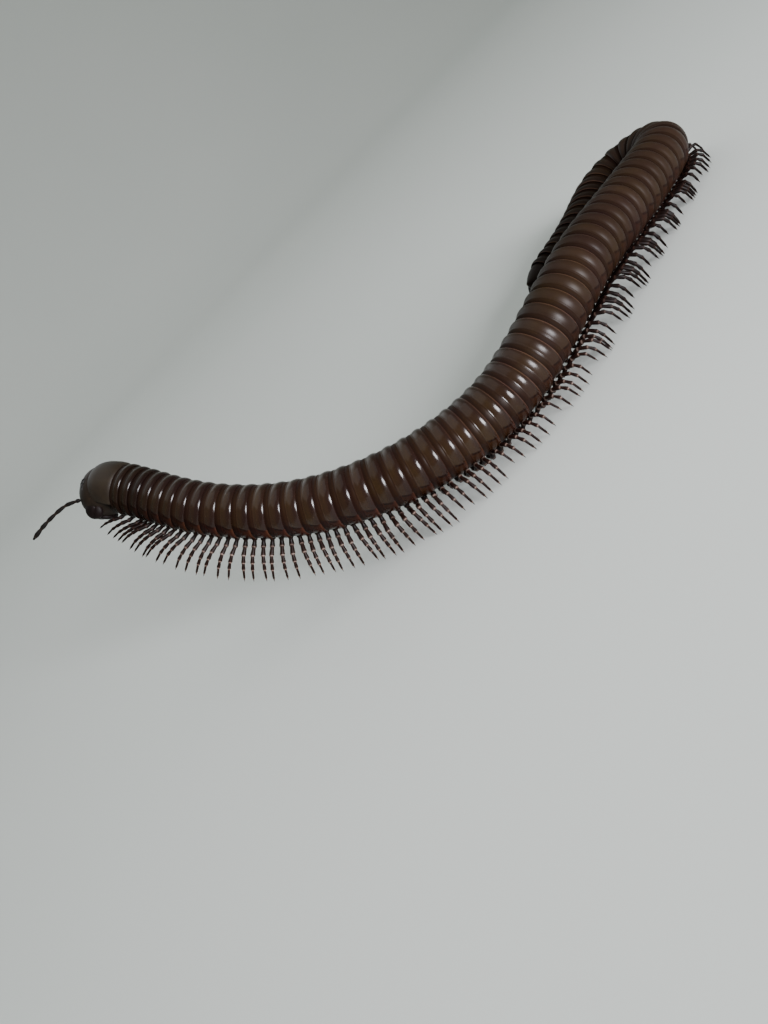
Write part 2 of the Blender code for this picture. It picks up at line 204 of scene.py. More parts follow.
def linear(hex_colour):
    """An sRGB hex colour as the linear colour that a shader takes."""
    channels = [int(hex_colour[i:i + 2], 16) / 255 for i in (1, 3, 5)]
    return (*[c / 12.92 if c <= 0.04045 else ((c + 0.055) / 1.055) ** 2.4 for c in channels], 1.0)


def connect(tree, made, inputs):
    """Give a node its values and its links."""
    for name, value in inputs.items():
        if isinstance(value, bpy.types.NodeSocket):
            tree.links.new(value, made.inputs[name])
        else:
            made.inputs[name].default_value = value


def node(tree, kind, inputs=None, stops=(), **settings):
    """Add a node with its values, links, colour stops and settings, and give back its outputs."""
    made = tree.nodes.new("ShaderNode" + kind)
    for name, value in settings.items():
        setattr(made, name, value)
    connect(tree, made, inputs or {})
    if stops:
        elements = made.color_ramp.elements
        while len(elements) < len(stops):
            elements.new(0.5)
        for element, (place, colour) in zip(elements, stops):
            element.position = place
            element.color = linear(colour)
    return made.outputs


def bare_material(name):
    """A new material with its tree and its shader."""
    material = bpy.data.materials.new(name)
    material.use_nodes = True
    return material, material.node_tree, material.node_tree.nodes["Principled BSDF"]


# Cuticle: chitin hardened with lime, polished by wear. The broad part of each ring is olive brown
# with purple clouds and its rear edge is darker. The sunk part behind it is darker too, partly in
# its own colour and partly as painted shade where it lies under the rear edge of the ring ahead. Low
# on the flank it turns thin and red-brown below a stepped dark line, and towards the tail the free
# edges are tan.
# ring_place holds the place along the ring, the height round it from belly to back, and the ring.
cuticle, tree, shader = bare_material("limy_cuticle_polished")
place = node(tree, "Attribute", attribute_name="ring_place")
split = node(tree, "SeparateXYZ", {"Vector": place["Vector"]})
along, around, ring = split["X"], split["Y"], split["Z"]
# Along each ring the colour darkens at the joint with the ring ahead. This is partly the cuticle's
# own colour and partly painted shade in the recess under that ring's rear edge.
head_bands = node(tree, "ValToRGB", {"Fac": along}, (
    (0.0, "#170e0b"), (0.10, "#170e0b"), (0.30, "#19110c"), (0.60, "#1c150e"), (0.85, "#180f0b"),
    (1.0, "#170e0b")))["Color"]
front_bands = node(tree, "ValToRGB", {"Fac": along}, (
    (0.0, "#20130d"), (0.10, "#21140d"), (0.22, "#25180e"), (0.28, "#20130b"), (0.34, "#291b0f"),
    (0.43, "#2c1e10"), (0.60, "#2a1c0f"), (0.76, "#21140d"), (0.90, "#1f110c"),
    (1.0, "#20130d")))["Color"]
rear_bands = node(tree, "ValToRGB", {"Fac": along}, (
    (0.0, "#1b120d"), (0.10, "#1f150f"), (0.24, "#251a12"), (0.28, "#20150e"), (0.34, "#271b12"),
    (0.50, "#291d14"), (0.76, "#271b12"), (0.90, "#241810"), (0.94, "#39291f"), (0.96, "#564134"),
    (0.98, "#4b372c"), (1.0, "#1b110c")))["Color"]
from_head = node(tree, "MapRange", {"Value": ring, "From Min": 3.0, "From Max": 12.0})
to_rear = node(tree, "MapRange", {"Value": ring, "From Min": 22.0, "From Max": 32.0})
# A Mix node's inputs 0, 6 and 7 are its share and two colours, and its output 2 is the mixture.
bands = node(tree, "Mix", {0: from_head["Result"], 6: head_bands, 7: front_bands},
             data_type="RGBA")[2]
bands = node(tree, "Mix", {0: to_rear["Result"], 6: bands, 7: rear_bands}, data_type="RGBA")[2]
# The stepped line: on each ring it begins high at the suture and drops towards the rear edge.
stepped = node(tree, "Math", {0: along, 1: 0.05, 2: around}, operation="MULTIPLY_ADD")[0]
upper_part = node(tree, "ValToRGB", {"Fac": stepped}, (
    (0.0, "#000000"), (0.415, "#000000"), (0.425, "#404040"), (0.440, "#404040"),
    (0.448, "#ffffff"), (1.0, "#ffffff")))["Color"]
flank_red = node(tree, "ValToRGB", {"Fac": along}, (
    (0.0, "#150907"), (0.22, "#1c0d0a"), (0.28, "#170a08"), (0.36, "#27120d"), (0.80, "#2b150f"),
    (0.90, "#33190f"), (0.96, "#452a1f"), (1.0, "#1c0c09")))["Color"]
flank_bands = node(tree, "Mix", {0: from_head["Result"], 6: head_bands, 7: flank_red},
                   data_type="RGBA")[2]
# From the middle on, the flank is nearly as brown as the back, and the step between them is soft.
like_the_back = node(tree, "MapRange", {
    "Value": ring, "From Min": 12.0, "From Max": 26.0, "To Max": 0.62})
flank_bands = node(tree, "Mix", {0: like_the_back["Result"], 6: flank_bands, 7: bands},
                   data_type="RGBA")[2]
line_height = node(tree, "ValToRGB", {"Fac": stepped}, (
    (0.0, "#000000"), (0.412, "#000000"), (0.426, "#ffffff"), (0.438, "#ffffff"), (0.450, "#000000"),
    (1.0, "#000000")))["Color"]
line_length = node(tree, "ValToRGB", {"Fac": along}, (
    (0.0, "#000000"), (0.34, "#000000"), (0.44, "#e0e0e0"), (0.80, "#e0e0e0"), (0.94, "#000000"),
    (1.0, "#000000")))["Color"]
short_line = node(tree, "Mix", {0: 1.0, 6: line_height, 7: line_length},
                  data_type="RGBA", blend_type="MULTIPLY")[2]
two_tone = node(tree, "Mix", {0: upper_part, 6: flank_bands, 7: bands}, data_type="RGBA")[2]
lined = node(tree, "Mix", {0: short_line, 6: two_tone, 7: linear("#120807")}, data_type="RGBA")[2]
# Purple and olive clouds 6 mm across, and each ring a shade of its own. A noise's scale is how
# many of its spots fit into a metre.
where = node(tree, "TexCoord")
clouds = node(tree, "TexNoise", {
    "Vector": where["Object"], "Scale": 170.0, "Detail": 3.0, "Roughness": 0.55})
tint = node(tree, "ValToRGB", {"Fac": clouds["Fac"]}, (
    (0.30, "#e8dcf0"), (0.50, "#f2ecec"), (0.70, "#ffffe0")))["Color"]
clouded = node(tree, "Mix", {0: 1.0, 6: lined, 7: tint}, data_type="RGBA", blend_type="MULTIPLY")[2]
one_ring = node(tree, "TexWhiteNoise", {"W": ring}, noise_dimensions="1D")
own_shade = node(tree, "MapRange", {"Value": one_ring["Value"], "To Min": 0.86, "To Max": 1.12})
# Painted shade: the colour darkens to half from ring 50 to ring 62 and over the tail piece. shade
# holds this together with each ring's own tone, and it also lowers the shine there.
painted_tail_shade = node(tree, "MapRange", {
    "Value": ring, "From Min": 50.0, "From Max": 62.0, "To Min": 1.0, "To Max": 0.5})
shade = node(tree, "Math", {0: own_shade["Result"], 1: painted_tail_shade["Result"]}, operation="MULTIPLY")[0]
toned = node(tree, "Mix", {0: 1.0, 6: clouded, 7: shade}, data_type="RGBA", blend_type="MULTIPLY")[2]
# Fine cross lines on the sunk part, and lengthwise scratched lines low on the flank: how many
# there are to a ring's length, and from the belly to the back.
CROSS_LINES = 26
LONG_LINES = 34
cross_phase = node(tree, "Math", {0: along, 1: 2 * math.pi * CROSS_LINES}, operation="MULTIPLY")[0]
cross_lines = node(tree, "Math", {0: cross_phase}, operation="SINE")[0]
front_part = node(tree, "ValToRGB", {"Fac": along}, (
    (0.0, "#ffffff"), (0.20, "#ffffff"), (0.26, "#000000"), (1.0, "#000000")))["Color"]
long_phase = node(tree, "Math", {0: around, 1: 2 * math.pi * LONG_LINES}, operation="MULTIPLY")[0]
long_lines = node(tree, "Math", {0: long_phase}, operation="SINE")[0]
low_part = node(tree, "ValToRGB", {"Fac": around}, (
    (0.0, "#ffffff"), (0.40, "#ffffff"), (0.46, "#000000"), (1.0, "#000000")))["Color"]
scratches = node(tree, "Mix", {0: 1.0, 6: cross_lines, 7: front_part},
                 data_type="RGBA", blend_type="MULTIPLY")[2]
low_scratches = node(tree, "Mix", {0: 1.0, 6: long_lines, 7: low_part},
                     data_type="RGBA", blend_type="MULTIPLY")[2]
lines = node(tree, "Mix", {0: 1.0, 6: scratches, 7: low_scratches},
             data_type="RGBA", blend_type="ADD")[2]
# Fine pits 0.3 mm apart.
pits = node(tree, "TexNoise", {"Vector": where["Object"], "Scale": 3200.0, "Detail": 2.0})
line_bump = node(tree, "Bump", {"Height": lines, "Strength": 0.10, "Distance": 0.00004})
pit_bump = node(tree, "Bump", {
    "Height": pits["Fac"], "Strength": 0.06, "Distance": 0.00008,
    "Normal": line_bump["Normal"]})
# The broad part is polished, the sunk part is matt, and all of it is satin past the middle.
sunk = node(tree, "ValToRGB", {"Fac": along}, (
    (0.0, "#ffffff"), (0.24, "#ffffff"), (0.32, "#202020"), (0.45, "#000000"), (0.97, "#000000"),
    (1.0, "#ffffff")))["Color"]
matt = node(tree, "MapRange", {"Value": sunk, "To Min": 0.12, "To Max": 0.34})
satin = node(tree, "MapRange", {"Value": ring, "From Min": 28.0, "From Max": 34.0, "To Max": 0.22})
worn = node(tree, "Math", {0: matt["Result"], 1: satin["Result"]}, operation="ADD")[0]
roughness = node(tree, "Math", {0: clouds["Fac"], 1: 0.12, 2: worn}, operation="MULTIPLY_ADD")[0]
# The broad parts of the front rings shine most. The worn flank, the free edges, the satin hind
# body and the tail under its painted shade shine less.
shiny_part = node(tree, "ValToRGB", {"Fac": along}, (
    (0.0, "#606060"), (0.26, "#808080"), (0.35, "#ffffff"), (0.955, "#ffffff"), (0.975, "#505050"),
    (1.0, "#505050")))["Color"]
shiny_flank = node(tree, "Mix", {
    0: like_the_back["Result"], 6: linear("#606060"), 7: linear("#d0d0d0")}, data_type="RGBA")[2]
shiny_back = node(tree, "Mix", {0: upper_part, 6: shiny_flank, 7: shiny_part}, data_type="RGBA")[2]
ring_share = node(tree, "MapRange", {"Value": ring, "From Max": 68.0})
shiny_rings = node(tree, "ValToRGB", {"Fac": ring_share["Result"]}, (
    (0.03, "#6c6c6c"), (0.17, "#949494"), (0.40, "#949494"), (0.50, "#626262"),
    (1.0, "#626262")))["Color"]
shine = node(tree, "Math", {0: shiny_rings, 1: shiny_back}, operation="MULTIPLY")[0]
dark_shine = node(tree, "Math", {0: shine, 1: shade}, operation="MULTIPLY")[0]
# The number is about that of the front rings' backs, for a program that can't read the pattern.
shader.inputs["Specular IOR Level"].default_value = 0.18
connect(tree, shader, {"Base Color": toned, "Normal": pit_bump["Normal"], "Roughness": roughness,
                       "Specular IOR Level": dark_shine})

one_ring_form = draw_out("ring_form", RING_PROFILE, RING_SIDES)
straight = points_of(one_ring_form)


def ring_radius(number):
    """Half the body's diameter at a ring."""
    return float(between(DIAMETER, number)) / 2


def around_ring(places, radius):
    """Points on the body's axis at some places, and the way out to a ring's surface there."""
    point, _, left, up = frames_at(places)
    return point, (left * straight[:, 1:2] + up * straight[:, 2:]) * radius[:, None]


def bend_ring(piece, number):
    """Lay a straight ring on its place in the body, with a flatter belly."""
    along_ring = straight[:, 0]
    around_axis = np.degrees(np.arctan2(np.abs(straight[:, 1]), -straight[:, 2]))
    radius = ring_radius(number) * between(BELLY_FLATTENING, around_axis)
    point, out = around_ring(number - 0.5 + along_ring, radius)
    # Outside a bend the broad part keeps its width, and the front part slides out.
    tail_before, tail_after = frames_at((number - 0.5, number + 0.5))[1]
    bend = (tail_after - tail_before) / float(between(RING_PITCH, number))
    stretch = np.maximum(1 - out @ bend, FREE_STRETCH) / FREE_STRETCH
    broad = 1 - (1 - along_ring) / stretch
    front_edge = RING_PROFILE[0][0]
    suture_now = 1 - (1 - SUTURE) / stretch
    narrow = (front_edge
              + (along_ring - front_edge) * (suture_now - front_edge) / (SUTURE - front_edge))
    point, out = around_ring(number - 0.5 + np.where(along_ring > SUTURE, broad, narrow), radius)
    move_points(piece, point + out)
    mark(piece, "ring_place", np.stack([along_ring, around_axis / 180,
                                        np.full(len(straight), float(number))], 1))


for length_number, (first_ring, last_ring) in enumerate(TRUNK_LENGTHS, 1):
    rings = []
    for number in range(first_ring, last_ring + 1):
        rings.append(copy_of(one_ring_form, f"ring_{number:02d}"))
        bend_ring(rings[-1], number)
    shell = join(rings, f"ring_shells_{length_number:02d}")
    smooth(shell, 60)
    shell.data.materials.append(cuticle)
    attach(shell, "root")
    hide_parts(f"trunk_{length_number:02d}")
bpy.data.objects.remove(one_ring_form)


# The walking legs. Each is a chain of seven short tubes of thinner, darker cuticle with pale soft
# skin at the joints and a fine claw. It springs from beside the belly's midline, arches out under
# the shell's edge and reaches down. Rings 2 to 4 have one pair, the others two.
FIRST_DOUBLE_RING = 5
HANGING_LEG = ((0.6, 0.9), (2.4, 2.4), (3.6, 4.6), (4.0, 7.0))
REACHING_LEG = ((0.9, 0.7), (3.6, 1.3), (5.9, 2.6), (7.2, 4.2))
HANGING_SCALE = {2: 0.7, 4: 0.85, 7: 1.0, 11: 1.05, 15: 1.07, 24: 1.1}
STANDING_LEG = ((0.13, 0.80, 0.0), (0.50, 0.72, 2.2), (0.84, 0.38, 2.0), (1.0, 0.0, 0.0))
STANDING_SPAN = 9.0
STANDING_SCALE = {2: 1.0, 60: 1.0, 67: 0.8}
# The shell beside the belly has this share of the ring's radius. The hip is this far out from the
# midline and down, in shell radii, and the leg's root is this far sunk.
SHELL_SHARE = 0.965
HIP_OUT = 0.203
HIP_DOWN = 0.90
HIP_SINK = 0.5
# Where a standing leg's reach is measured from, beside the midline, and the least it may be.
HIP_OFFSET = 1.2
LEAST_REACH = 3.0
SHELL_CLEARANCE = 0.6
KNEE_CLEARANCE = 0.55
FOOT_CLEARANCE = 0.35
CLAW_HEIGHT = 0.03
STANDING_BELLY_HEIGHT = 5.6
LIFT_BAND = 3.6
# How far a slant of 90 degrees would move a standing foot, as a share of the leg's length, and how
# far a slant moves the four points of any leg, as shares of what it moves the foot.
FOOT_SHIFT = 0.6
LEAN = (0.1, 0.4, 0.75, 1.0)
# The slant towards the tail, in degrees. Steps run along the body in waves of so many rings, with
# a swing of so many degrees, and the left legs are a little ahead.
SLANT = {2: -46, 4: -40, 6: -32, 9: -20, 11: -6, 13: 6, 16: 18, 19: 16, 22: 12, 25: 14, 28: 20,
         31: 24, 34: 22, 38: 14, 44: 6, 50: 0, 68: 0}
GAIT_RINGS = 2.9
GAIT_SWING = {2: 3, 24: 3.5, 30: 6, 34: 14, 46: 16, 50: 5, 68: 3}
LEFT_PHASE = 0.6
STEP_LIFT = 1.4
# Each pair's place on its ring, in rings, and its lean in degrees. A lone pair is the first.
LEG_PAIRS = ((0.24, -2.0), (-0.27, 2.0))
RIGHT_REACH = {2: 8.8, 36: 8.8, 41: 7.0, 46: 5.6, 50: 4.6, 58: 4.6, 62: 4.8, 67: 4.6}
LEFT_REACH = {2: 8.8, 28: 8.8, 33: 7.8, 38: 7.2, 48: 7.0, 52: 7.6, 58: 7.6, 64: 6.8, 67: 6.0}
# Ahead of this ring a leg's thickness follows its length, by the square root.
THICK_LEG_RING = 15
# Each tube's share of the leg, and its width at its base and at its far end, in millimetres.
LEG_TUBES = ((0.10, 1.00, 1.20), (0.17, 0.80, 1.10), (0.20, 0.76, 1.02), (0.15, 0.68, 0.90),
             (0.13, 0.58, 0.78), (0.19, 0.50, 0.44), (0.06, 0.22, 0.03))
# Places along a tube, and the width there in shares of its base's and its far end's.
TUBE_PARTS = ((0.10, 1.0, 0.0), (0.88, 0.0, 1.0))

# Leg cuticle: thin chitin, sepia to black, satin, with a short bloom of fine hair. The joints
# between the tubes are pale, folded skin.
# leg_place holds the tube with the place in it, and the ring.
leg_cuticle, tree, shader = bare_material("leg_cuticle_with_pale_joints")
place = node(tree, "Attribute", attribute_name="leg_place")
split = node(tree, "SeparateXYZ", {"Vector": place["Vector"]})
in_tube = node(tree, "Math", {0: split["X"]}, operation="FRACT")[0]
pale_jointed = node(tree, "ValToRGB", {"Fac": in_tube}, (
    (0.0, "#84736a"), (0.05, "#5e4c44"), (0.10, "#20100b"), (0.50, "#170a07"), (0.91, "#20100b"),
    (0.95, "#5e4c44"), (1.0, "#84736a")))["Color"]
dark_jointed = node(tree, "ValToRGB", {"Fac": in_tube}, (
    (0.0, "#33221c"), (0.06, "#1f120e"), (0.10, "#130906"), (0.50, "#0e0605"), (0.90, "#130906"),
    (0.95, "#1f120e"), (1.0, "#33221c")))["Color"]
# The pale skin shows past the hip, on the legs between the front rings and the hind body. Near
# the hip, under the shell, the joints are painted dark as shade.
out_of_hip_shade = node(tree, "MapRange", {"Value": split["X"], "From Min": 1.7, "From Max": 2.3})
leg_from_head = node(tree, "MapRange", {"Value": split["Y"], "From Min": 5.0, "From Max": 11.0})
leg_to_rear = node(tree, "MapRange", {"Value": split["Y"], "From Min": 31.0, "From Max": 36.0})
pale_share = node(tree, "Math", {0: out_of_hip_shade["Result"], 1: leg_from_head["Result"]},
                  operation="MULTIPLY")[0]
tube_colour = node(tree, "Mix", {0: pale_share, 6: dark_jointed, 7: pale_jointed},
                   data_type="RGBA")[2]
tube_colour = node(tree, "Mix", {0: leg_to_rear["Result"], 6: tube_colour, 7: dark_jointed},
                   data_type="RGBA")[2]
where = node(tree, "TexCoord")
# Mottles 0.7 mm across.
mottle = node(tree, "TexNoise", {"Vector": where["Object"], "Scale": 1500.0, "Detail": 3.0})
leg_shade = node(tree, "MapRange", {"Value": mottle["Fac"], "To Min": 0.6, "To Max": 1.25})
toned = node(tree, "Mix", {0: 1.0, 6: tube_colour, 7: leg_shade["Result"]},
             data_type="RGBA", blend_type="MULTIPLY")[2]
grain = node(tree, "Bump", {"Height": mottle["Fac"], "Strength": 0.2, "Distance": 0.0001})
connect(tree, shader, {"Base Color": toned, "Normal": grain["Normal"], "Roughness": 0.4,
                       "Specular IOR Level": 0.10})


def draw_chain(name, joints, parts, sides):
    """A straight chain of joints along X, one long, and the joint and place in it at each point."""
    stations = []
    marks = []
    reached = 0.0
    for joint, (share, base_width, far_width) in enumerate(joints):
        for part, base_share, far_share in parts:
            width = base_share * base_width + far_share * far_width
            stations.append((reached + part * share, width / 2))
            marks.append(joint + part)
        reached += share
    made = draw_out(name, stations, sides)
    return made, np.interp(points_of(made)[:, 0], [station[0] for station in stations], marks)


leg_form, leg_parts = draw_chain("leg_form", LEG_TUBES, TUBE_PARTS, 6)
straight_leg = points_of(leg_form)


def standing_leg(point, tailward, left, hip, number, side, slant):
    """Points from the hip out, over the knee under the shell's edge, and down to the floor."""
    radius = ring_radius(number)
    out = unit(np.array((left[0], left[1], 0.0))) * side
    back = unit(np.array((tailward[0], tailward[1], 0.0)))
    hip_out = (hip - point) @ out
    hip_back = (hip - point) @ back
    span = STANDING_SPAN * float(between(STANDING_SCALE, number))
    shift = FOOT_SHIFT * span * math.sin(slant)
    widest = float(between(LEFT_REACH if side > 0 else RIGHT_REACH, number))
    reach = min(widest, HIP_OFFSET + math.sqrt(max(LEAST_REACH**2, span**2 - hip[2]**2 - shift**2)))
    path = [hip]
    for (share, steep, rise), lean in zip(STANDING_LEG, LEAN):
        outward = hip_out + share * (reach - hip_out)
        height = steep * hip[2] + rise
        if outward < radius:
            height = min(height, point[2] - math.sqrt(radius**2 - outward**2) - SHELL_CLEARANCE)
        spot = point + out * outward + back * (hip_back + lean * shift)
        spot[2] = max(height, 0.0 if share == 1.0 else KNEE_CLEARANCE)
        path.append(spot)
    return path


def hanging_leg(tailward, left, up, hip, number, side, slant):
    """Points of a free leg beside the lifted belly: the left ones hang, the right ones reach out."""
    scale = float(between(HANGING_SCALE, number))
    longest = HANGING_LEG[-1][1]
    path = [hip]
    for (spread, fall), lean in zip(HANGING_LEG if side > 0 else REACHING_LEG, LEAN):
        offset = left * (side * spread) - up * (fall * math.cos(slant))
        path.append(hip + (offset + tailward * (lean * longest * math.sin(slant))) * scale)
    return path


def leg_path(number, side, pair_lean, jitter):
    """Points along one leg, from its hip to its claw."""
    point, tailward, left, up = (rows[0] for rows in frames_at(number))
    radius = ring_radius(number) * SHELL_SHARE
    hip = point + left * (side * HIP_OUT * radius) - up * (HIP_DOWN * radius)
    phase = 2 * math.pi * number / GAIT_RINGS + (LEFT_PHASE if side > 0 else 0)
    swing = float(between(GAIT_SWING, number)) * math.sin(phase) + pair_lean + jitter.uniform(-1, 1)
    slant = math.radians(float(through(SLANT, number)) + swing)
    lifted = min(max((hip[2] - STANDING_BELLY_HEIGHT) / LIFT_BAND, 0.0), 1.0)
    standing = standing_leg(point, tailward, left, hip, number, side, slant)
    hanging = hanging_leg(tailward, left, up, hip, number, side, slant)
    path = [low * (1 - lifted) + high * lifted for low, high in zip(standing, hanging)]
    step = STEP_LIFT * max(0.0, math.cos(phase))**2 * (1 - lifted)
    path[-2][2] += step / 2
    path[-1][2] += step
    if path[-1][2] < FOOT_CLEARANCE:
        path[-1][2] = CLAW_HEIGHT
    path[0] = path[0] + up * HIP_SINK
    return np.array(path), tailward


def follow(path, lengths, places, step):
    """Points at some places on a smooth path through a few points, and the way it runs there."""
    knots = [dict(zip(lengths, path[:, i])) for i in range(3)]
    centre, ahead, behind = (np.stack([through(knot, spot) for knot in knots], 1) for spot in (
        places, np.minimum(places + step, lengths[-1]), np.maximum(places - step, 0)))
    return centre, unit(ahead - behind)


def bend_leg(piece, path, tailward, number):
    """Bend a straight leg along its points, tube by tube."""
    lengths = np.concatenate([[0], np.cumsum(np.linalg.norm(np.diff(path, axis=0), axis=1))])
    centre, direction = follow(path, lengths, straight_leg[:, 0] * lengths[-1], 0.05)
    along_body = unit(tailward - direction * (direction @ tailward)[:, None])
    outward = np.cross(direction, along_body)
    scale = float(between(HANGING_SCALE, number)) ** 0.5 if number < THICK_LEG_RING else 1.0
    bent = centre + (along_body * straight_leg[:, 1:2] + outward * straight_leg[:, 2:]) * scale
    bent[:, 2] = np.maximum(bent[:, 2], 0.0)
    move_points(piece, bent)
    marks = np.stack([leg_parts, np.full(len(bent), number), np.zeros(len(bent))], 1)
    mark(piece, "leg_place", marks)


leg_jitter = random.Random(7)
for length_number, (first_ring, last_ring) in enumerate(TRUNK_LENGTHS, 1):
    legs = []
    for number in range(first_ring, last_ring + 1):
        for offset, pair_lean in LEG_PAIRS[:1 if number < FIRST_DOUBLE_RING else 2]:
            pair = number + offset
            for side in (1, -1):
                legs.append(copy_of(leg_form, "leg"))
                path, tailward = leg_path(pair, side, pair_lean, leg_jitter)
                bend_leg(legs[-1], path, tailward, pair)
    leg_row = join(legs, f"walking_legs_{length_number:02d}")
    smooth(leg_row, 70)
    leg_row.data.materials.append(leg_cuticle)
    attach(leg_row, "root")
    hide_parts(f"trunk_{length_number:02d}")
bpy.data.objects.remove(leg_form)


# The collum. It is the first plate of the body: a saddle of thick cuticle that lies over the back
# of the head like a hood, duller than the rings, with a rounded lower rim.
COLLUM_PROFILE = ((-0.9, 4.5), (-0.2, 4.95), (0.15, 5.15), (0.6, 5.28), (1.6, 5.28), (2.6, 5.18),
                  (3.7, 5.0), (4.6, 4.72), (5.3, 4.38), (5.75, 4.08), (6.02, 3.78), (6.0, 3.45),
                  (5.6, 3.2))
COLLUM_LOWER_EDGE = -2.4
COLLUM_RIM = 0.22


def head_places(local):
    """Places in the head's axes, x forward from the neck, y left and z up, put in the room."""
    point, tailward, left, up = (rows[0] for rows in frames_at(NECK))
    return point - tailward * local[:, 0:1] + left * local[:, 1:2] + up * local[:, 2:3]


# Matt cuticle: the same chitin, finely granular, so the light on it is soft and grey. Its clouds
# are 2.6 mm across and its grains 0.2 mm.
dull_cuticle, tree, shader = bare_material("limy_cuticle_granular")
where = node(tree, "TexCoord")
clouds = node(tree, "TexNoise", {
    "Vector": where["Object"], "Scale": 380.0, "Detail": 5.0, "Roughness": 0.65})
tone = node(tree, "ValToRGB", {"Fac": clouds["Fac"]}, (
    (0.25, "#19120c"), (0.5, "#20180f"), (0.75, "#251d12")))["Color"]
grains = node(tree, "TexNoise", {"Vector": where["Object"], "Scale": 5200.0, "Detail": 2.0})
grain = node(tree, "Bump", {"Height": grains["Fac"], "Strength": 0.25, "Distance": 0.0001})
connect(tree, shader, {"Base Color": tone, "Normal": grain["Normal"], "Roughness": 0.48,
                       "Specular IOR Level": 0.25})

collum = draw_out("collum_plate", COLLUM_PROFILE, 64)
bpy.ops.object.mode_set(mode="EDIT")
bpy.ops.mesh.select_all(action="SELECT")
bpy.ops.mesh.bisect(plane_co=(0, 0, COLLUM_LOWER_EDGE), plane_no=(0, 0, 1), use_fill=True,
                    clear_inner=True)
bpy.ops.mesh.normals_make_consistent(inside=False)
bpy.ops.object.mode_set(mode="OBJECT")
lower_rim = collum.modifiers.new("rounded_rim", "BEVEL")
lower_rim.width = COLLUM_RIM
lower_rim.segments = 3
lower_rim.angle_limit = math.radians(50)
bpy.ops.object.modifier_apply(modifier=lower_rim.name)
move_points(collum, head_places(points_of(collum)))
smooth(collum, 60)
collum.data.materials.append(dull_cuticle)
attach(collum, "root")
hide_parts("collum")


# The head capsule. It is one hard dome of cuticle, widest behind the feelers, that narrows to an
# upper lip with a notch in the middle. Shallow sockets hold the feelers.
HEAD_CENTRE = (4.95, 0.0, -1.7)
HEAD_HALF = (4.3, 4.6, 5.5)
ANTENNA_BASE = (8.65, 2.4, -3.4)
LIP_TAPER = 0.34
# The depth and half width of the lip's notch, of the midline's groove and of a feeler's socket.
LIP_NOTCH = (0.55, 0.55)
MIDLINE_GROOVE = (0.10, 0.12)
SOCKET = (0.45, 0.85)
# The same of the fold above the lip, whose half width and height are in half heights of the head.
LIP_FOLD = (0.12, 0.035)
LIP_FOLD_HEIGHT = -0.62
# How far down the lip begins, the band over which its notch deepens, and how far down the groove
# ends, in half heights of the head too.
LIP_START = 0.80
LIP_BAND = 0.2
MIDLINE_END = 0.6

# Head cuticle: near-black chitin, satin, with clouds 2.2 mm across and faint wrinkles 0.4 mm apart.
head_cuticle, tree, shader = bare_material("head_cuticle_black_brown")
where = node(tree, "TexCoord")
clouds = node(tree, "TexNoise", {"Vector": where["Object"], "Scale": 450.0, "Detail": 4.0})
tone = node(tree, "ValToRGB", {"Fac": clouds["Fac"]}, (
    (0.3, "#15100b"), (0.6, "#1e160f"), (0.8, "#261c13")))["Color"]
wrinkles = node(tree, "TexNoise", {"Vector": where["Object"], "Scale": 2600.0, "Detail": 3.0})
grain = node(tree, "Bump", {"Height": wrinkles["Fac"], "Strength": 0.18, "Distance": 0.0001})
connect(tree, shader, {"Base Color": tone, "Normal": grain["Normal"], "Roughness": 0.52,
                       "Specular IOR Level": 0.14})


def round_form(name, centre, half, columns, rows):
    """A ball stretched to its half sizes, in the head's or the tail's own axes."""
    bpy.ops.object.select_all(action="DESELECT")
    bpy.ops.mesh.primitive_uv_sphere_add(segments=columns, ring_count=rows, radius=1,
                                         location=centre, scale=half)
    bpy.ops.object.transform_apply(location=True, rotation=True, scale=True)
    bpy.context.object.name = name
    return bpy.context.object


def dent(distance, width):
    """How deep a soft dent is at some distances from its middle, from 1 down to 0."""
    return np.exp(-(distance / width) ** 2)


def on_side(place, side):
    """A place of the left side, for 1, or its mirror on the right, for -1."""
    return place[0], place[1] * side, place[2]


head = round_form("head_capsule", HEAD_CENTRE, HEAD_HALF, 96, 64)
shape = points_of(head)
relative = (shape - np.array(HEAD_CENTRE)) / np.array(HEAD_HALF)
down = np.maximum(0.0, -relative[:, 2])
shape[:, 1] *= 1 - LIP_TAPER * down**2
lip = np.clip((down - LIP_START) / LIP_BAND, 0, 1)
depth, width = LIP_NOTCH
shape[:, 2] += lip * depth * dent(shape[:, 1], width)
depth, width = MIDLINE_GROOVE
shape[:, 0] -= depth * dent(shape[:, 1], width) * np.clip(relative[:, 2] + MIDLINE_END, 0, 1)
depth, width = SOCKET
for side in (1, -1):
    from_socket = np.linalg.norm(shape - np.array(on_side(ANTENNA_BASE, side)), axis=1)
    shape[:, 0] -= depth * dent(from_socket, width)
depth, width = LIP_FOLD
shape[:, 0] -= depth * (dent(relative[:, 2] - LIP_FOLD_HEIGHT, width) * (relative[:, 0] > 0))
move_points(head, head_places(shape))
smooth(head, 60)
head.data.materials.append(head_cuticle)
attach(head, "root")
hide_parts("head")


# The eyes. Each is a three-cornered patch of close-set black beads on the side of the head, just
# ahead of the hood. Every bead is a separate simple lens of clear cuticle over dark pigment.
EYE_BEADS = (7, 6, 5, 4, 3)
MIDDLE_ROW = 2
BEAD = 0.16
ROW_SPACING = 0.9
# Forward from the neck and up, in the head's axes. The beads lie on the head's surface there.
EYE_CENTRE = (7.35, 0.4)

# Eye lens: glass-clear cuticle over black pigment, so it is black with a sharp glint.
eye_lens, tree, shader = bare_material("eye_lens_black")
where = node(tree, "TexCoord")
pigment = node(tree, "TexNoise", {"Vector": where["Object"], "Scale": 2500.0})
tone = node(tree, "ValToRGB", {"Fac": pigment["Fac"]}, (
    (0.3, "#050404"), (0.8, "#14100d")))["Color"]
connect(tree, shader, {"Base Color": tone, "Roughness": 0.15})

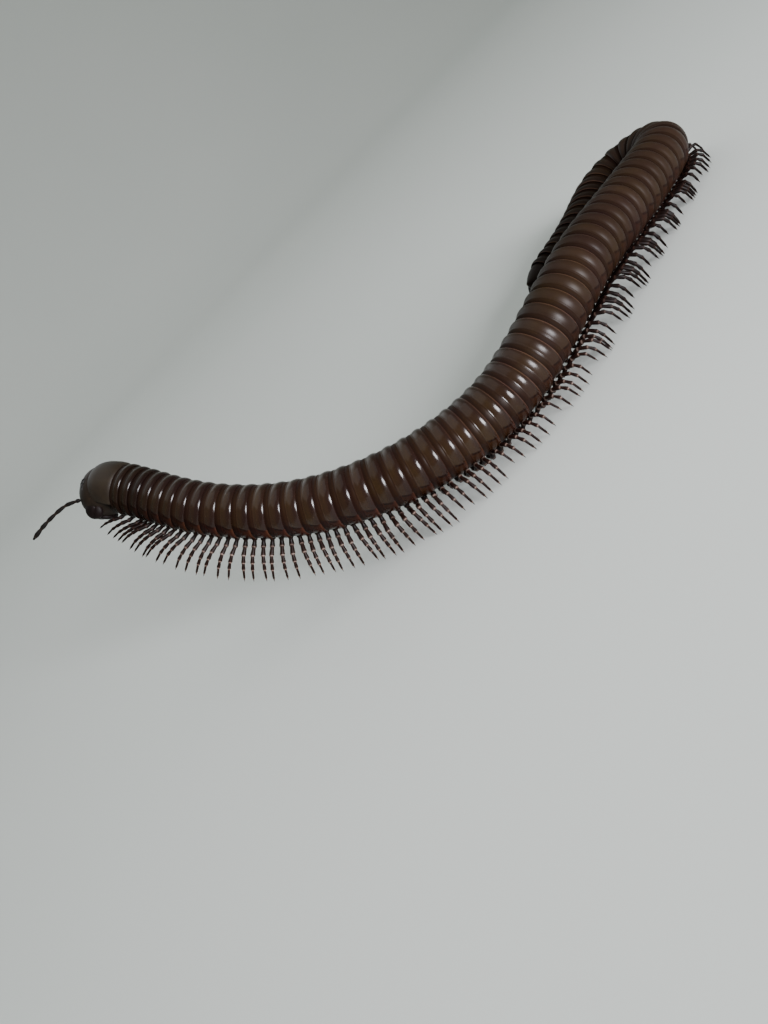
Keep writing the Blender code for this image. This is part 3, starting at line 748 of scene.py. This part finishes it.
for side, word in ((1, "left"), (-1, "right")):
    beads = []
    for row, count in enumerate(EYE_BEADS):
        for step_number in range(count):
            x = EYE_CENTRE[0] + (row - MIDDLE_ROW) * 2 * BEAD * ROW_SPACING
            z = EYE_CENTRE[1] + (step_number - (count - 1) / 2) * 2 * BEAD
            forward = (x - HEAD_CENTRE[0]) / HEAD_HALF[0]
            upright = (z - HEAD_CENTRE[2]) / HEAD_HALF[2]
            y = HEAD_HALF[1] * math.sqrt(1 - forward**2 - upright**2) * side
            beads.append(round_form("bead", (x, y, z), (BEAD, BEAD, BEAD), 10, 6))
    eye = join(beads, f"eye_beads_{word}")
    move_points(eye, head_places(points_of(eye)))
    smooth(eye, 80)
    eye.data.materials.append(eye_lens)
    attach(eye, "root")
    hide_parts(f"eye_{word}")


# The mouthparts. A cheek plate, the base of the jaw, closes the head on each side, and a flat lower
# lip plate with three grooves closes it from below. All are hard red-brown cuticle on soft skin.
MANDIBLE_CENTRE = (4.25, 3.35, -4.6)
MANDIBLE_HALF = (1.95, 0.95, 1.7)
LIP_PLATE_CENTRE = (3.55, 0.0, -5.9)
LIP_PLATE_HALF = (1.9, 2.3, 0.8)
# How far behind the cheek plate's middle its groove is, and its depth and half width.
CHEEK_GROOVE_BACK = 0.5
CHEEK_GROOVE = (0.22, 0.14)
# Where the lip plate's grooves are beside the midline, and their depth and half width.
LIP_GROOVE_PLACES = (-0.8, 0.0, 0.8)
LIP_GROOVE = (0.15, 0.1)

# Jaw cuticle: chitin tanned red-brown, satin, with faint swellings 1.7 mm across.
jaw_cuticle, tree, shader = bare_material("jaw_cuticle_red_brown")
where = node(tree, "TexCoord")
clouds = node(tree, "TexNoise", {"Vector": where["Object"], "Scale": 600.0, "Detail": 4.0})
tone = node(tree, "ValToRGB", {"Fac": clouds["Fac"]}, (
    (0.3, "#0a0504"), (0.6, "#100706"), (0.8, "#160a08")))["Color"]
grain = node(tree, "Bump", {"Height": clouds["Fac"], "Strength": 0.2, "Distance": 0.0002})
connect(tree, shader, {"Base Color": tone, "Normal": grain["Normal"], "Roughness": 0.55,
                       "Specular IOR Level": 0.12})

for side, word in ((1, "left"), (-1, "right")):
    centre = on_side(MANDIBLE_CENTRE, side)
    cheek = round_form(f"jaw_cheek_{word}", centre, MANDIBLE_HALF, 40, 28)
    shape = points_of(cheek)
    depth, width = CHEEK_GROOVE
    shape[:, 1] -= side * depth * dent(shape[:, 0] - centre[0] + CHEEK_GROOVE_BACK, width)
    move_points(cheek, head_places(shape))
    smooth(cheek, 60)
    cheek.data.materials.append(jaw_cuticle)
    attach(cheek, "root")
    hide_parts(f"mandible_{word}")

lip_plate = round_form("lower_lip_plate", LIP_PLATE_CENTRE, LIP_PLATE_HALF, 48, 28)
shape = points_of(lip_plate)
depth, width = LIP_GROOVE
for groove_place in LIP_GROOVE_PLACES:
    below = shape[:, 2] < LIP_PLATE_CENTRE[2]
    shape[:, 2] += depth * (dent(shape[:, 1] - groove_place, width) * below)
move_points(lip_plate, head_places(shape))
smooth(lip_plate, 60)
lip_plate.data.materials.append(jaw_cuticle)
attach(lip_plate, "root")
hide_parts("gnathochilarium")


# The feelers. Each has seven club-shaped joints of dark, finely haired cuticle in a row and a blunt
# tip. The near one reaches forward and down, the far one feels out sideways.
ANTENNA_PATHS = {
    "left": ((0.0, 0.0, 0.0), (2.4, 1.1, -1.4), (4.3, 2.3, -3.7), (5.9, 3.3, -6.2),
             (7.2, 4.2, -8.8)),
    "right": ((0.0, 0.0, 0.0), (1.8, -1.8, -0.6), (2.9, -4.2, -1.6), (3.3, -6.9, -3.2),
              (3.1, -9.2, -5.4)),
}
# As for the tubes of the legs: the joints, and the places in a joint where its width changes.
FEELER_JOINTS = ((0.07, 0.60, 0.85), (0.19, 0.55, 0.85), (0.19, 0.55, 0.85), (0.17, 0.55, 0.86),
                 (0.16, 0.56, 0.92), (0.16, 0.60, 0.95), (0.06, 0.70, 0.45))
JOINT_PARTS = ((0.06, 1.0, 0.0), (0.30, 0.35, 0.65), (0.75, 0.0, 1.0), (0.94, 0.0, 0.8))
FEELER_SINK = 0.3

# Feeler cuticle: as the legs, but dark to the joints, and dulled by fine hair 0.25 mm apart.
feeler_cuticle, tree, shader = bare_material("feeler_cuticle_fine_haired")
place = node(tree, "Attribute", attribute_name="leg_place")
split = node(tree, "SeparateXYZ", {"Vector": place["Vector"]})
in_joint = node(tree, "Math", {0: split["X"]}, operation="FRACT")[0]
joint_colour = node(tree, "ValToRGB", {"Fac": in_joint}, (
    (0.0, "#2a1e18"), (0.10, "#120b08"), (0.5, "#0a0605"), (0.9, "#100906"),
    (1.0, "#241a14")))["Color"]
where = node(tree, "TexCoord")
hair = node(tree, "TexNoise", {"Vector": where["Object"], "Scale": 4000.0, "Detail": 2.0})
grain = node(tree, "Bump", {"Height": hair["Fac"], "Strength": 0.35, "Distance": 0.0001})
connect(tree, shader, {"Base Color": joint_colour, "Normal": grain["Normal"], "Roughness": 0.5,
                       "Specular IOR Level": 0.12, "Sheen Weight": 0.02})

for word, path in ANTENNA_PATHS.items():
    feeler, marks = draw_chain(f"feeler_{word}", FEELER_JOINTS, JOINT_PARTS, 16)
    straight_feeler = points_of(feeler)
    base = np.array(on_side(ANTENNA_BASE, 1 if word == "left" else -1))
    path = np.array(path) + (base - np.array((FEELER_SINK, 0, 0)))
    centre, direction = follow(path, np.linspace(0, 1, len(path)), straight_feeler[:, 0], 0.01)
    across = unit(np.cross(direction, np.array((0.0, 1.0, 0.0))))
    other = np.cross(direction, across)
    bent = centre + across * straight_feeler[:, 1:2] + other * straight_feeler[:, 2:]
    move_points(feeler, head_places(bent))
    mark(feeler, "leg_place", np.stack([marks, marks * 0, marks * 0], 1))
    smooth(feeler, 60)
    feeler.data.materials.append(feeler_cuticle)
    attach(feeler, "root")
    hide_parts(f"antenna_{word}")


# The tail piece and the anal valves. The last ring ends in a hood that runs to a blunt point, over
# two swollen valves with a raised rim each, which meet in a slit and close the gut.
TELSON_PROFILE = ((-0.8, 3.6), (0.15, 3.95), (0.6, 3.98), (1.2, 3.85), (1.8, 3.55), (2.4, 3.15),
                  (3.0, 2.6), (3.6, 1.9), (4.2, 1.15), (4.6, 0.6), (4.8, 0.3))
TELSON_RISE = {0: 0.0, 1.2: 0.0, 2.4: 0.35, 3.4: 0.95, 4.2: 1.7, 4.8: 2.3}
# The hood's cuticle is that of the broad part of a ring's back, drawn out to this length. It shows
# the ring from the first place to the second, at this height round it.
PATTERN_LENGTH = 12
PATTERN_PLACES = (0.4, 0.94)
PATTERN_HEIGHT = 0.7
VALVE_CENTRE = (2.35, 1.55, -0.7)
VALVE_HALF = (2.3, 1.4, 2.6)
# How far from the slit each valve's rim and the furrow beside it are, and their half widths.
VALVE_RIM = (0.42, 0.14)
VALVE_FURROW = (0.8, 0.16)
VALVE_RIM_HEIGHT = 0.16


def tail_places(local):
    """Places in the tail's axes, x towards the tail from the last ring, put in the room."""
    point, tailward, left, up = (rows[0] for rows in frames_at(LAST_RING + 0.5))
    return point + tailward * local[:, 0:1] + left * local[:, 1:2] + up * local[:, 2:3]


telson = draw_out("tail_hood", TELSON_PROFILE, 64)
shape = points_of(telson)
pattern = np.clip(PATTERN_PLACES[0] + shape[:, 0] / PATTERN_LENGTH, *PATTERN_PLACES)
mark(telson, "ring_place", np.stack([pattern, np.full(len(shape), PATTERN_HEIGHT),
                                     np.full(len(shape), LAST_RING + 1.0)], 1))
shape[:, 2] += between(TELSON_RISE, shape[:, 0])
move_points(telson, tail_places(shape))
smooth(telson, 60)
telson.data.materials.append(cuticle)
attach(telson, "root")
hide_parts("telson")

for side, word in ((1, "left"), (-1, "right")):
    centre = on_side(VALVE_CENTRE, side)
    valve = round_form(f"valve_{word}", centre, VALVE_HALF, 40, 28)
    shape = points_of(valve)
    from_slit = np.abs(shape[:, 1])
    raised, sunk = (dent(from_slit - spot, width) for spot, width in (VALVE_RIM, VALVE_FURROW))
    shape[:, 0] += VALVE_RIM_HEIGHT * (raised - sunk) * (shape[:, 0] > centre[0])
    move_points(valve, tail_places(shape))
    smooth(valve, 60)
    valve.data.materials.append(jaw_cuticle)
    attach(valve, "root")
    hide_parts(f"anal_valve_{word}")


# The floor, the lamps and the camera. A wide sheet of pale card lies under the model and curves up
# far behind it. Even light fills the room, a soft lamp low beside the camera sets a glint on every
# ring, and two more light the top and the far side.
SHEET_HALF_WIDTH = 5.0
SHEET_CURVE = 0.5
SHEET_REACH = 1.1
SHEET_HEIGHT = 2.0

# Pale card: unglazed paper board, matt, with clouds of fibre so wide that they hardly show.
card, tree, shader = bare_material("pale_card")
where = node(tree, "TexCoord")
fibres = node(tree, "TexNoise", {"Vector": where["Object"], "Scale": 3.0, "Detail": 2.0})
tone = node(tree, "ValToRGB", {"Fac": fibres["Fac"]}, ((0.3, "#d3d8d3"), (0.7, "#d8dcd7")))["Color"]
connect(tree, shader, {"Base Color": tone, "Roughness": 0.9, "Specular IOR Level": 0.1})

bpy.ops.object.select_all(action="DESELECT")
bpy.ops.mesh.primitive_plane_add(size=2 * SHEET_HALF_WIDTH,
                                 location=(0, SHEET_REACH - SHEET_HALF_WIDTH, 0))
sheet = bpy.context.object
sheet.name = "floor_sheet"
bpy.ops.object.transform_apply(location=True, rotation=True, scale=True)
bpy.ops.object.mode_set(mode="EDIT")
bpy.ops.mesh.select_mode(type="EDGE")


def select_far_edge():
    """Select the edge of the floor that is farthest behind the model."""
    bpy.ops.mesh.select_all(action="DESELECT")
    bm = bmesh.from_edit_mesh(sheet.data)
    for edge in bm.edges:
        middle = (edge.verts[0].co + edge.verts[1].co) / 2
        edge.select_set(middle.y > SHEET_REACH - 0.01 and middle.z < 0.01)
    bmesh.update_edit_mesh(sheet.data)


select_far_edge()
bpy.ops.mesh.extrude_region_move(TRANSFORM_OT_translate={"value": (0, 0, SHEET_HEIGHT)})
select_far_edge()
bpy.ops.mesh.bevel(offset=SHEET_CURVE, segments=24)
bpy.ops.object.mode_set(mode="OBJECT")
smooth(sheet, 40)
sheet.data.materials.append(card)

# The camera looks down on the model by its tilt and is turned about its own line of sight by its
# roll, in degrees, as the photograph shows it.
CAMERA_ROLL = 46
CAMERA_TILT = 24
CAMERA_FROM_ANCHOR = Vector((-44.73, -130.17, 56.02))
IMAGE_HEIGHT = 1024
FOCAL_PIXELS = 769
SENSOR_HEIGHT = 36.0
turn = math.radians(CAMERA_ROLL)
tilt = math.radians(CAMERA_TILT)
right = Vector((math.cos(turn), -math.sin(turn) * math.sin(tilt), -math.sin(turn) * math.cos(tilt)))
upward = Vector((math.sin(turn), math.cos(turn) * math.sin(tilt), math.cos(turn) * math.cos(tilt)))
backward = Vector((0, -math.cos(tilt), math.sin(tilt)))
lens = bpy.data.cameras.new("camera")
lens.sensor_fit = "VERTICAL"
lens.sensor_height = SENSOR_HEIGHT
lens.lens = FOCAL_PIXELS / IMAGE_HEIGHT * SENSOR_HEIGHT
lens.clip_start = 0.005
lens.clip_end = 50
camera = bpy.data.objects.new("camera", lens)
camera_place = (Vector(ANCHOR_PLACE) + CAMERA_FROM_ANCHOR) * MM
camera_turn = Matrix((right, upward, backward)).transposed().to_4x4()
camera.matrix_world = Matrix.Translation(camera_place) @ camera_turn
bpy.context.scene.collection.objects.link(camera)
bpy.context.scene.camera = camera


def lamp(name, place, target, size, watts, colour, spread=180):
    """A square soft lamp that points at a target, with its light held to a cone."""
    light = bpy.data.lights.new(name, "AREA")
    light.size = size
    light.energy = watts
    light.color = linear(colour)[:3]
    light.spread = math.radians(spread)
    made = bpy.data.objects.new(name, light)
    made.location = place
    made.rotation_euler = (Vector(target) - Vector(place)).to_track_quat("-Z", "Y").to_euler()
    made.visible_camera = False
    bpy.context.scene.collection.objects.link(made)


lamp("beside_camera", (0.22, -0.54, 0.15), target=(0, 0, 0.02), size=0.24, watts=1.9,
     colour="#fbfaff", spread=80)
lamp("overhead", (0.0, 0.1, 2.2), target=(0, 0, 0), size=2.4, watts=13.0, colour="#ffffff")
lamp("far_side", (-0.30, 0.80, 0.60), target=(0, 0, 0.02), size=1.1, watts=1.0,
     colour="#f2f7fb", spread=80)
world = bpy.data.worlds.new("studio")
world.use_nodes = True
world.node_tree.nodes["Background"].inputs["Color"].default_value = linear("#f4f8f6")
world.node_tree.nodes["Background"].inputs["Strength"].default_value = 0.31
bpy.context.scene.world = world
